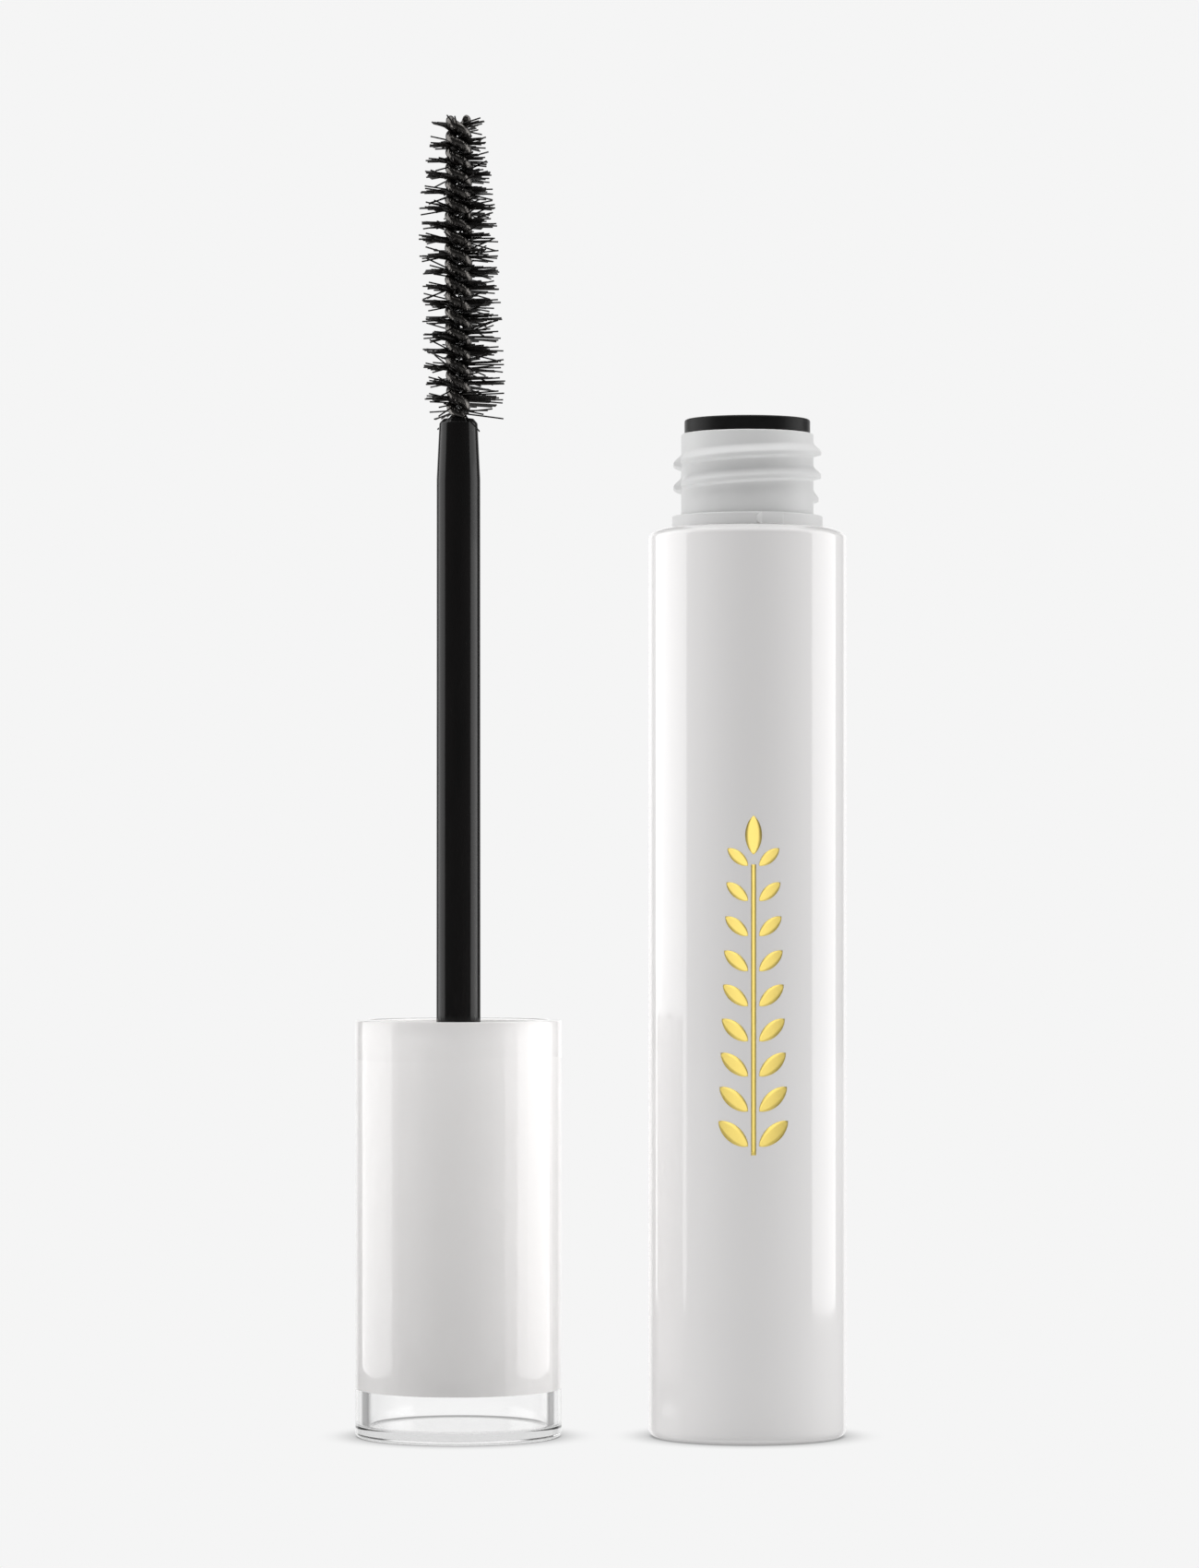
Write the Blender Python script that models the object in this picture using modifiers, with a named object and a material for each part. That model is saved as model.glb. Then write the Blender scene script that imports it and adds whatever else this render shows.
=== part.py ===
"""A mascara tube with its wand taken out.

The tube stands upright on the origin. The cap stands beside it on its closed end, with the stem and
the brush rising out of its mouth. Every length is in metres, +Z is up and the table is at z = 0.
"""

import math

import bmesh
import bpy
from mathutils import Vector

MM = 0.001
SEGMENTS = 40                       # facets round every turned piece, so that nested walls line up
FACET = 2 * math.pi / SEGMENTS
AXIS_WELD = 1e-5
EDGE = 0.25 * MM                    # a chamfer on a corner that hands touch
FINE_EDGE = 0.12 * MM
INSIDE_EDGE = 0.5 * MM
SUNK = 0.2 * MM                     # how deep a thread or a stop is rooted in its wall
SHY = 0.05 * MM                     # how far a stop stays short of the faces beside it

# Tube: sleeve, bottle and wiper share this axis
TUBE_R = 9.0 * MM
TUBE_HEIGHT = 82.6 * MM             # table to the sleeve's shoulder
SLEEVE_WALL = 0.9 * MM
SLEEVE_ROOF = 1.3 * MM
SHOULDER_R = 7.0 * MM               # the hole that the collar comes up through
SHOULDER_DROP = 0.9 * MM
FOOT_ROUND = 0.75 * MM
RUNNING_GAP = 0.1 * MM              # between two pieces that are pushed together

BOTTLE_R = TUBE_R - SLEEVE_WALL - RUNNING_GAP
BOTTLE_BORE_R = 6.8 * MM
BOTTLE_FLOOR = 1.0 * MM
COLLAR_R = SHOULDER_R - RUNNING_GAP
COLLAR_HEIGHT = 1.1 * MM
NECK_R = 6.03 * MM
NECK_BORE_R = 4.6 * MM
NECK_HEIGHT = 7.5 * MM
COLLAR_TOP = TUBE_HEIGHT + COLLAR_HEIGHT
NECK_TOP = COLLAR_TOP + NECK_HEIGHT

WIPER_R = 5.72 * MM
WIPER_FLANGE = 1.25 * MM
WIPER_SKIRT_R = NECK_BORE_R - RUNNING_GAP
WIPER_FUNNEL_R = 3.8 * MM
WIPER_ORIFICE_R = 2.15 * MM
WIPER_DEPTH = 11.0 * MM             # neck rim to the wiping lip
WIPER_FUNNEL = 4.0 * MM             # length of the funnel above the lip
WIPER_EDGE = 0.2 * MM
WIPER_SEAT = 0.05 * MM              # left between the flange and the neck's rim
WIPER_TOP = NECK_TOP + WIPER_SEAT + WIPER_FLANGE

# Thread of a 13 mm neck finish, 12 turns to the inch, right-handed
THREAD_PITCH = 25.4 * MM / 12
THREAD_CREST_R = 6.73 * MM
THREAD_LAND = 0.38 * MM             # width along the axis at the crest
THREAD_UPPER = 0.75 * MM            # rise of the sloping upper flank
THREAD_LOWER = 0.22 * MM            # rise of the steep lower flank, which holds the cap down
THREAD_START = 1.39 * MM            # first turn's crest, above the collar
THREAD_FROM = math.radians(-18)
THREAD_TURNS = 2.14
RUN_OUT = math.radians(40)          # over which each end of a thread tapers away
END_CREST = 0.05                    # share of the thread's depth that is left at its very end
END_WIDTH = 0.4                     # share of its width that is left there

STOP_FROM = math.radians(-82.5)
STOP_TO = math.radians(-65)
STOP_R = 7.3 * MM
STOP_SECTIONS = 4

# Cap: clear shell, inner cap, stem and brush share an axis beside the tube
CAP_X = -26.3 * MM
CAP_R = 9.4 * MM
CAP_HEIGHT = 37.9 * MM
CAP_BORE_R = 8.2 * MM
CAP_END_WALL = 1.0 * MM
CAP_EDGE = 0.45 * MM

INNER_R = CAP_BORE_R - RUNNING_GAP
INNER_BASE = 4.3 * MM               # underside of the inner cap, above a clear gap
INNER_TOP = CAP_HEIGHT - 0.1 * MM
INNER_BORE_R = 6.95 * MM
INNER_END_WALL = 1.2 * MM
SOCKET_R = 3.6 * MM
SOCKET_BORE_R = 2.1 * MM
COLLAR_POCKET_R = 7.5 * MM
COLLAR_POCKET_DEPTH = 1.4 * MM
CAP_THREAD_CREST_R = 6.2 * MM
CAP_THREAD_TURNS = 1.5
CAP_THREAD_LAND = 0.4 * MM
CAP_THREAD_FLANK = 0.15 * MM
CLOSED_GAP = 0.5 * MM               # shell rim to shoulder when the cap is screwed home

STEM_R = 2.025 * MM
STEM_TIP_R = 1.75 * MM
STEM_TIP = 92.6 * MM
STEM_TAPER = 5.5 * MM
STEM_FOOT = INNER_BASE + INNER_END_WALL + RUNNING_GAP
STEM_FLANGE_R = 5.6 * MM
STEM_FLANGE = 1.4 * MM
STEM_FLANGE_TOP = 28.4 * MM         # meets the wiper when the cap is screwed home
WIRE_HOLE_R = 1.1 * MM
WIRE_HOLE_DEPTH = 9.0 * MM

# Brush: one wire folded in half and twisted left-handed round rows of filaments
BRUSH_TOP = 119.8 * MM
WIRE_R = 0.43 * MM
WIRE_HELIX_R = 0.57 * MM
WIRE_SWELL = 0.27 * MM              # how far the filaments force the wires apart at mid-brush
WIRE_PITCH = 2.9 * MM
WIRE_FOOT = STEM_TIP - WIRE_HOLE_DEPTH + 1.4 * MM
WIRE_STEPS = 10                     # points in each turn
FOLD_STEPS = 6                      # round the hidden fold at the wire's lower end
SWELL_REACH = 0.9 * math.pi         # part of a half wave that shapes the swelling of the wires
TUFT_ROWS = 18
TUFT_TOP = BRUSH_TOP - 0.45 * MM    # the wires stand a little proud of the last filaments
TUFT_THICKNESS = 0.1 * MM
TUFT_GAP = 0.12 * MM                # left between one row and the next
TUFT_STEPS = 8
TUFT_SPOKE = (0.0, 0.14, 0.4, 1.0)  # places along a filament, as shares of its reach

# Reach of the filaments: height along the brush (0 at the stem), to the left and to the right
BRUSH_OUTLINE = (
    (0.00, 3.16 * MM, 4.65 * MM),
    (0.40, 3.42 * MM, 3.91 * MM),
    (0.70, 3.72 * MM, 3.52 * MM),
    (0.86, 3.30 * MM, 3.05 * MM),
    (1.00, 2.40 * MM, 2.45 * MM),
)

PARTS = None
CUTTERS = None


# ---------------------------------------------------------------- helpers

def clear_scene():
    """Empty the file and make the two collections."""
    global PARTS, CUTTERS
    for obj in list(bpy.data.objects):
        bpy.data.objects.remove(obj, do_unlink=True)
    PARTS = bpy.data.collections.new("mascara_tube")
    CUTTERS = bpy.data.collections.new("construction")
    bpy.context.scene.collection.children.link(PARTS)
    bpy.context.scene.collection.children.link(CUTTERS)


def plastic(name, colour, roughness, metallic=0.0, clear=0.0):
    """A Principled material; clear is how much light goes straight through."""
    material = bpy.data.materials.new(name)
    material.use_nodes = True
    shader = material.node_tree.nodes["Principled BSDF"]
    shader.inputs["Base Color"].default_value = (*colour, 1.0)
    shader.inputs["Roughness"].default_value = roughness
    shader.inputs["Metallic"].default_value = metallic
    shader.inputs["Transmission Weight"].default_value = clear
    material.diffuse_color = (*colour, 1.0)
    return material


def arc(centre_r, centre_z, radius_r, radius_z, start, end, steps=4):
    """Points on a quarter round of a profile, from start to end in degrees."""
    angles = (math.radians(start + (end - start) * i / steps) for i in range(steps + 1))
    return [(centre_r + radius_r * math.cos(a), centre_z + radius_z * math.sin(a)) for a in angles]


def place(obj, material, axis_x=0.0, parent=None):
    """File a finished piece with its material, its origin on the axis it belongs to."""
    obj.data.materials.clear()
    obj.data.materials.append(material)
    obj.location.x = axis_x
    PARTS.objects.link(obj)
    if parent is not None:
        obj.parent = parent
        obj.matrix_parent_inverse = parent.matrix_world.inverted()
    return obj


def turned(name, profile, closed=False):
    """Turn a profile of (radius, height) points about Z with a Screw modifier."""
    mesh = bpy.data.meshes.new(name)
    verts = [(radius, 0.0, height) for radius, height in profile]
    edges = [(i, i + 1) for i in range(len(verts) - 1)]
    if closed:
        edges.append((len(verts) - 1, 0))
    mesh.from_pydata(verts, edges, [])
    obj = bpy.data.objects.new(name, mesh)
    screw = obj.modifiers.new("turn", "SCREW")
    screw.axis = "Z"
    screw.angle = 2 * math.pi
    screw.steps = screw.render_steps = SEGMENTS
    screw.use_merge_vertices = True
    screw.merge_threshold = AXIS_WELD
    screw.use_smooth_shade = True
    return obj


def joined(obj, tool):
    """Join a tool solid to a piece with an exact Boolean; the tool follows it, out of sight."""
    CUTTERS.objects.link(tool)
    tool.parent = obj
    tool.hide_render = True
    tool.display_type = "WIRE"
    union = obj.modifiers.new(tool.name, "BOOLEAN")
    union.operation = "UNION"
    union.solver = "EXACT"
    union.object = tool
    return obj


def loft(name, sections):
    """A closed solid through a row of four-cornered sections, with both ends capped."""
    bm = bmesh.new()
    rings = [[bm.verts.new(point) for point in section] for section in sections]
    for near, far in zip(rings, rings[1:]):
        for i in range(len(near)):
            j = (i + 1) % len(near)
            bm.faces.new((near[i], near[j], far[j], far[i]))
    bm.faces.new(tuple(reversed(rings[0])))
    bm.faces.new(tuple(rings[-1]))
    bmesh.ops.recalc_face_normals(bm, faces=bm.faces)
    mesh = bpy.data.meshes.new(name)
    bm.to_mesh(mesh)
    bm.free()
    return bpy.data.objects.new(name, mesh)


def polar(radius, angle, height):
    return Vector((radius * math.cos(angle), radius * math.sin(angle), height))


def thread_ridge(name, root_r, crest_r, first_z, start, turns, land, upper, lower):
    """A right-handed thread whose ends taper away: a crest as wide as land, between two flanks."""
    sweep = 2 * math.pi * turns
    steps = round(sweep / FACET)
    sections = []
    for i in range(steps + 1):
        turned_by = sweep * i / steps
        fade = min(1.0, min(turned_by, sweep - turned_by) / RUN_OUT + END_CREST)
        crest = root_r + (crest_r - root_r) * fade
        z = first_z + THREAD_PITCH * turned_by / (2 * math.pi)
        size = END_WIDTH + (1 - END_WIDTH) * fade
        low, high = z - size * land / 2, z + size * land / 2
        angle = start + turned_by
        sections.append((
            polar(root_r, angle, low - size * lower),
            polar(crest, angle, low),
            polar(crest, angle, high),
            polar(root_r, angle, high + size * upper),
        ))
    return loft(name, sections)


def stop_block(name, inner_r, outer_r, start, end, low, high):
    """A short block round part of a ring."""
    angles = [start + (end - start) * i / (STOP_SECTIONS - 1) for i in range(STOP_SECTIONS)]
    return loft(name, [(
        polar(inner_r, a, low), polar(outer_r, a, low), polar(outer_r, a, high), polar(inner_r, a, high),
    ) for a in angles])


# ---------------------------------------------------------------- tube

def tube_sleeve(material):
    bore_r = TUBE_R - SLEEVE_WALL
    roof_z = TUBE_HEIGHT - SLEEVE_ROOF
    profile = arc(SHOULDER_R, TUBE_HEIGHT - SHOULDER_DROP, TUBE_R - SHOULDER_R, SHOULDER_DROP, 90, 0)
    profile += arc(TUBE_R - FOOT_ROUND, FOOT_ROUND, FOOT_ROUND, FOOT_ROUND, 0, -90, 3)
    profile += [(bore_r, 0.0), (bore_r, roof_z), (SHOULDER_R, roof_z)]
    return place(turned("tube_sleeve", profile, closed=True), material)


def inner_bottle(material):
    """The moulded bottle inside the sleeve, with its collar, stop and threaded neck."""
    body_top = TUBE_HEIGHT - SLEEVE_ROOF - RUNNING_GAP
    wall = BOTTLE_R - BOTTLE_BORE_R
    profile = [
        (0.0, BOTTLE_FLOOR),
        (BOTTLE_BORE_R - INSIDE_EDGE, BOTTLE_FLOOR),
        (BOTTLE_BORE_R, BOTTLE_FLOOR + INSIDE_EDGE),
        (BOTTLE_BORE_R, body_top - 2 * wall),
        (NECK_BORE_R, body_top - wall),
        (NECK_BORE_R, NECK_TOP),
        (NECK_R - FINE_EDGE, NECK_TOP),
        (NECK_R, NECK_TOP - FINE_EDGE),
        (NECK_R, COLLAR_TOP),
        (COLLAR_R - FINE_EDGE, COLLAR_TOP),
        (COLLAR_R, COLLAR_TOP - FINE_EDGE),
        (COLLAR_R, body_top),
        (BOTTLE_R, body_top),
        (BOTTLE_R, 0.0),
        (0.0, 0.0),
    ]
    bottle = turned("inner_bottle", profile)
    joined(bottle, thread_ridge(
        "neck_thread", NECK_R - SUNK, THREAD_CREST_R, COLLAR_TOP + THREAD_START,
        THREAD_FROM, THREAD_TURNS, THREAD_LAND, THREAD_UPPER, THREAD_LOWER))
    joined(bottle, stop_block(
        "neck_stop", COLLAR_R - SUNK, STOP_R, STOP_FROM, STOP_TO,
        TUBE_HEIGHT + SHY, COLLAR_TOP - SHY))
    return place(bottle, material)


def wiper(material):
    """The soft ring in the neck that strips the stem; its lip is the narrow end of a funnel."""
    flange_z = WIPER_TOP - WIPER_FLANGE
    lip_z = NECK_TOP - WIPER_DEPTH
    funnel_z = lip_z + WIPER_FUNNEL
    profile = [
        (WIPER_FUNNEL_R, WIPER_TOP),
        (WIPER_R - WIPER_EDGE, WIPER_TOP),
        (WIPER_R, WIPER_TOP - WIPER_EDGE),
        (WIPER_R, flange_z),
        (WIPER_SKIRT_R, flange_z),
        (WIPER_SKIRT_R, funnel_z - INSIDE_EDGE),
        (WIPER_ORIFICE_R + INSIDE_EDGE, lip_z),
        (WIPER_ORIFICE_R, lip_z),
        (WIPER_ORIFICE_R, lip_z + INSIDE_EDGE),
        (WIPER_FUNNEL_R, funnel_z),
    ]
    return place(turned("wiper", profile, closed=True), material)


# ---------------------------------------------------------------- cap and stem

def outer_cap(material):
    profile = [
        (0.0, CAP_END_WALL),
        (CAP_BORE_R, CAP_END_WALL),
        (CAP_BORE_R, CAP_HEIGHT - EDGE),
        (CAP_BORE_R + EDGE, CAP_HEIGHT),
        (CAP_R - EDGE, CAP_HEIGHT),
        (CAP_R, CAP_HEIGHT - EDGE),
    ]
    profile += arc(CAP_R - CAP_EDGE, CAP_EDGE, CAP_EDGE, CAP_EDGE, 0, -90, 3)
    profile += [(0.0, 0.0)]
    return place(turned("outer_cap", profile), material, CAP_X)


def cap_thread_height():
    """Where the cap's thread starts: half a pitch off the neck's thread when screwed home."""
    closed_sum = TUBE_HEIGHT + CLOSED_GAP + CAP_HEIGHT
    neck_z = COLLAR_TOP + THREAD_START + THREAD_PITCH * (math.pi - THREAD_FROM) / (2 * math.pi)
    return closed_sum - neck_z - 1.5 * THREAD_PITCH


def inner_cap(material, parent):
    """The lining that carries the thread, with a socket for the stem standing on its closed end."""
    floor_z = INNER_BASE + INNER_END_WALL
    socket_top = STEM_FLANGE_TOP - STEM_FLANGE - RUNNING_GAP
    pocket_z = INNER_TOP - COLLAR_POCKET_DEPTH
    profile = [
        (0.0, floor_z),
        (SOCKET_BORE_R, floor_z),
        (SOCKET_BORE_R, socket_top),
        (SOCKET_R, socket_top),
        (SOCKET_R, floor_z),
        (INNER_BORE_R, floor_z),
        (INNER_BORE_R, pocket_z),
        (COLLAR_POCKET_R, pocket_z),
        (COLLAR_POCKET_R, INNER_TOP),
        (INNER_R, INNER_TOP),
        (INNER_R, INNER_BASE + EDGE),
        (INNER_R - EDGE, INNER_BASE),
        (0.0, INNER_BASE),
    ]
    cap = turned("inner_cap", profile)
    joined(cap, thread_ridge(
        "cap_thread", INNER_BORE_R + SUNK, CAP_THREAD_CREST_R, cap_thread_height(),
        0.0, CAP_THREAD_TURNS, CAP_THREAD_LAND, CAP_THREAD_FLANK, CAP_THREAD_FLANK))
    joined(cap, stop_block(
        "cap_stop", STOP_R - 3 * SHY, COLLAR_POCKET_R + SUNK, STOP_FROM, STOP_TO,
        pocket_z - SUNK, INNER_TOP - 2 * SHY))
    return place(cap, material, CAP_X, parent)


def stem(material, parent):
    """The straight rod, with a sealing flange near one end and a hole for the wire in the other."""
    flange_z = STEM_FLANGE_TOP - STEM_FLANGE
    profile = [
        (0.0, STEM_TIP - WIRE_HOLE_DEPTH),
        (WIRE_HOLE_R, STEM_TIP - WIRE_HOLE_DEPTH),
        (WIRE_HOLE_R, STEM_TIP),
        (STEM_TIP_R - EDGE, STEM_TIP),
        (STEM_TIP_R, STEM_TIP - EDGE),
        (STEM_R, STEM_TIP - STEM_TAPER),
        (STEM_R, STEM_FLANGE_TOP),
        (STEM_FLANGE_R - EDGE, STEM_FLANGE_TOP),
        (STEM_FLANGE_R, STEM_FLANGE_TOP - EDGE),
        (STEM_FLANGE_R, flange_z + EDGE),
        (STEM_FLANGE_R - EDGE, flange_z),
        (STEM_R, flange_z),
        (STEM_R, STEM_FOOT + EDGE),
        (STEM_R - EDGE, STEM_FOOT),
        (0.0, STEM_FOOT),
    ]
    return place(turned("stem", profile), material, CAP_X, parent)


# ---------------------------------------------------------------- brush

def wire_angle(z):
    """Turn of the wire pair at a height; it falls as z rises, which is a left-handed twist."""
    return -2 * math.pi * (z - WIRE_FOOT) / WIRE_PITCH


def wire_spread(z):
    """From the brush's axis to the middle of a wire; widest half way up the brush."""
    share = max(0.0, (z - STEM_TIP) / (BRUSH_TOP - STEM_TIP))
    return WIRE_HELIX_R + WIRE_SWELL * math.sqrt(math.sin(SWELL_REACH * share))


def brush_wire(material, parent):
    """One leg down, a fold hidden in the stem, and the other leg back up."""
    rise = BRUSH_TOP - WIRE_FOOT
    steps = round(rise / WIRE_PITCH * WIRE_STEPS)
    heights = [WIRE_FOOT + rise * i / steps for i in range(steps + 1)]
    down = [polar(wire_spread(z), wire_angle(z), z) for z in reversed(heights)]
    up = [polar(wire_spread(z), wire_angle(z) + math.pi, z) for z in heights]
    fold = []
    for i in range(1, FOLD_STEPS):
        a = math.pi * i / FOLD_STEPS
        fold.append(Vector((
            WIRE_HELIX_R * math.cos(a), 0.0, WIRE_FOOT - WIRE_HELIX_R * math.sin(a))))
    points = down + fold + up

    curve = bpy.data.curves.new("brush_wire_path", "CURVE")
    curve.dimensions = "3D"
    curve.bevel_depth = WIRE_R
    curve.bevel_resolution = 1
    curve.use_fill_caps = True
    spline = curve.splines.new("POLY")
    spline.points.add(len(points) - 1)
    for point, place_at in zip(spline.points, points):
        point.co = (*place_at, 1.0)
    path = bpy.data.objects.new("brush_wire_path", curve)
    CUTTERS.objects.link(path)
    bpy.context.view_layer.update()

    evaluated = path.evaluated_get(bpy.context.evaluated_depsgraph_get())
    mesh = bpy.data.meshes.new_from_object(evaluated)
    mesh.name = "brush_wire"
    bpy.data.objects.remove(path, do_unlink=True)
    bm = bmesh.new()
    bm.from_mesh(mesh)
    bmesh.ops.remove_doubles(bm, verts=bm.verts, dist=AXIS_WELD)
    bmesh.ops.recalc_face_normals(bm, faces=bm.faces)
    bm.to_mesh(mesh)
    bm.free()
    return place(bpy.data.objects.new("brush_wire", mesh), material, CAP_X, parent)


def brush_reach(share, angle):
    """How far a filament reaches at a share of the brush's length, in one direction round it."""
    for (low, low_l, low_r), (high, high_l, high_r) in zip(BRUSH_OUTLINE, BRUSH_OUTLINE[1:]):
        if share <= high:
            break
    t = min(1.0, max(0.0, (share - low) / (high - low)))
    left = low_l + (high_l - low_l) * t
    right = low_r + (high_r - low_r) * t
    return (left + right) / 2 + (right - left) / 2 * math.cos(angle)


def bristle_row(index, material, parent):
    """The filaments gripped in one half turn of the wire, as a thin twisted blade."""
    name = f"bristle_row_{index + 1:02d}"
    row_height = WIRE_PITCH / 2
    low = TUFT_TOP - row_height * (TUFT_ROWS - index) + TUFT_GAP / 2
    high = low + row_height - TUFT_GAP
    brush_low = TUFT_TOP - row_height * TUFT_ROWS
    spokes = [-s for s in reversed(TUFT_SPOKE[1:])] + list(TUFT_SPOKE)

    bm = bmesh.new()
    rows = []
    for i in range(TUFT_STEPS + 1):
        z = low + (high - low) * i / TUFT_STEPS
        across = wire_angle(z) + math.pi / 2
        share = (z - brush_low) / (TUFT_TOP - brush_low)
        row = []
        for s in spokes:
            angle = across if s >= 0 else across + math.pi
            row.append(bm.verts.new(polar(abs(s) * brush_reach(share, angle), angle, z)))
        rows.append(row)
    for near, far in zip(rows, rows[1:]):
        for i in range(len(near) - 1):
            bm.faces.new((near[i], near[i + 1], far[i + 1], far[i]))
    mesh = bpy.data.meshes.new(name)
    bm.to_mesh(mesh)
    bm.free()

    row_obj = bpy.data.objects.new(name, mesh)
    thicken = row_obj.modifiers.new("thickness", "SOLIDIFY")
    thicken.thickness = TUFT_THICKNESS
    thicken.offset = 0.0
    thicken.use_even_offset = True
    return place(row_obj, material, CAP_X, parent)


# ---------------------------------------------------------------- assembly

def cap_axis():
    """The axis that the stem and the inner cap turn on when the cap is unscrewed."""
    axis = bpy.data.objects.new("cap_turn_axis", None)
    axis.location.x = CAP_X
    PARTS.objects.link(axis)
    bpy.context.view_layer.update()
    return axis


def main():
    clear_scene()
    white = plastic("white_gloss", (0.86, 0.85, 0.84), 0.12)
    natural = plastic("neck_natural", (0.72, 0.72, 0.72), 0.45)
    black = plastic("wiper_black", (0.02, 0.02, 0.02), 0.35)
    clear = plastic("cap_clear", (1.0, 1.0, 1.0), 0.03, clear=1.0)
    lining = plastic("lining_white", (0.88, 0.87, 0.86), 0.2)
    rod = plastic("stem_black", (0.015, 0.015, 0.015), 0.12)
    steel = plastic("wire_dark", (0.10, 0.095, 0.09), 0.3, metallic=1.0)
    nylon = plastic("bristle_black", (0.02, 0.018, 0.018), 0.4)

    tube_sleeve(white)
    inner_bottle(natural)
    wiper(black)

    outer_cap(clear)
    axis = cap_axis()
    inner_cap(lining, axis)
    stem(rod, axis)
    brush_wire(steel, axis)
    for index in range(TUFT_ROWS):
        bristle_row(index, nylon, axis)

    for obj in PARTS.objects:
        if obj.type == "MESH":
            obj.data.shade_smooth()
            obj.data.set_sharp_from_angle(angle=math.radians(30))


main()
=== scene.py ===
"""Looks for a mascara tube: glossy sleeve, threaded neck, clear cap, stem and twisted-wire brush."""

from math import ceil, cos, pi, radians, sin, tan

import bmesh
import bpy
from mathutils import Matrix, Vector


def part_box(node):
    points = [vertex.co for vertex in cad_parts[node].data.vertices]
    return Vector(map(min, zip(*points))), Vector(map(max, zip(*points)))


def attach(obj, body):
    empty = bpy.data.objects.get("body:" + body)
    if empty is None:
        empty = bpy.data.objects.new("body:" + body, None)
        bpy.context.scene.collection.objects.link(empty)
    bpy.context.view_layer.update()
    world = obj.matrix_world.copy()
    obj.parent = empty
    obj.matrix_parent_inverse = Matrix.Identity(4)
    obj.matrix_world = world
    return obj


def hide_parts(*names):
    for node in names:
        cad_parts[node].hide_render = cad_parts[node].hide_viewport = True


bl_info = {
    "name": "Mascara Tube",
    "version": (1, 0, 0),
    "blender": (4, 5, 0),
    "location": "View3D > Sidebar > Mascara",
    "description": "Builds a mascara tube with its clear cap, stem and twisted-wire brush",
    "category": "Object",
}

MM = 0.001
INCH = 25.4 * MM
TURN = 2 * pi
SAME = 1e-6                  # lengths closer than this are one

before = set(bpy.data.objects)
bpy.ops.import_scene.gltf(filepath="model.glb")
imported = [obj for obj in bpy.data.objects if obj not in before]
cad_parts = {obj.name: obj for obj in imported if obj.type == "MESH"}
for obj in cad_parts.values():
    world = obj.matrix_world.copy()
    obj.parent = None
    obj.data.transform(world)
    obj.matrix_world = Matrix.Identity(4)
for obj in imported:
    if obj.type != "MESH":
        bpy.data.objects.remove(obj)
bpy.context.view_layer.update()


class Span:
    """Where a round node of the frame stands: its axis, its radius and its two ends."""

    def __init__(self, node):
        low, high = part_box(node)
        self.x = (low.x + high.x) / 2
        self.r = (high.x - low.x) / 2
        self.low = low.z
        self.top = high.z


SLEEVE = Span("tube_sleeve")
BOTTLE = Span("inner_bottle")
WIPER = Span("wiper")
SHELL = Span("outer_cap")
LINING = Span("inner_cap")
STEM = Span("stem")
WIRE = Span("brush_wire")
ROWS = sorted(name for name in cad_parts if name.startswith("bristle_row"))
DRESSED = {}                 # the finished pieces, by name


# ---- node graphs

class Wire:
    """An output socket that takes part in arithmetic; each operation adds a Math node."""

    def __init__(self, graph, socket):
        self.graph = graph
        self.socket = socket

    def math(self, operation, *others):
        values = dict(enumerate((self, *others)))
        return self.graph.make("ShaderNodeMath", {"operation": operation}, values)

    def __add__(self, other):
        return self.math("ADD", other)

    def __sub__(self, other):
        return self.math("SUBTRACT", other)

    def __mul__(self, other):
        return self.math("MULTIPLY", other)

    def __truediv__(self, other):
        return self.math("DIVIDE", other)

    def __rsub__(self, other):
        return self.graph.number(other).math("SUBTRACT", self)

    def __neg__(self):
        return self.math("MULTIPLY", -1.0)

    def __pow__(self, times):
        """A whole power; an odd one keeps the sign."""
        result = self
        for _ in range(times - 1):
            result = result * self
        return result

    __radd__ = __add__
    __rmul__ = __mul__

    def smooth(self, start, end):
        """0 at start, 1 at end, and soft at both."""
        settings = {"interpolation_type": "SMOOTHSTEP"}
        values = {"Value": self, "From Min": start, "From Max": end}
        return self.graph.make("ShaderNodeMapRange", settings, values)


class Graph:
    """Adds nodes to a tree."""

    def __init__(self, tree):
        self.tree = tree

    def make(self, kind, settings=None, values=None, output=0):
        """One node: its settings are set first, then the values or links of its sockets."""
        node = self.tree.nodes.new(kind)
        for name, setting in (settings or {}).items():
            setattr(node, name, setting)
        for name, value in (values or {}).items():
            if isinstance(value, Wire):
                self.tree.links.new(value.socket, node.inputs[name])
            else:
                node.inputs[name].default_value = value
        return Wire(self, node.outputs[output])

    def number(self, value):
        return self.make("ShaderNodeMath", {"operation": "ADD"}, {0: value, 1: 0.0})

    def split(self, vector):
        node = self.make("ShaderNodeSeparateXYZ", values={0: vector}).socket.node
        return [Wire(self, output) for output in node.outputs]

    def vector(self, x=0.0, y=0.0, z=0.0):
        return self.make("ShaderNodeCombineXYZ", values={0: x, 1: y, 2: z})

    def mix(self, factor, first, second):
        """A colour between two, by a factor."""
        settings = {"data_type": "RGBA"}
        colours = [c if isinstance(c, Wire) else (*c, 1.0) for c in (first, second)]
        return self.make("ShaderNodeMix", settings, {0: factor, 6: colours[0], 7: colours[1]}, 2)


# ---- materials

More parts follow.
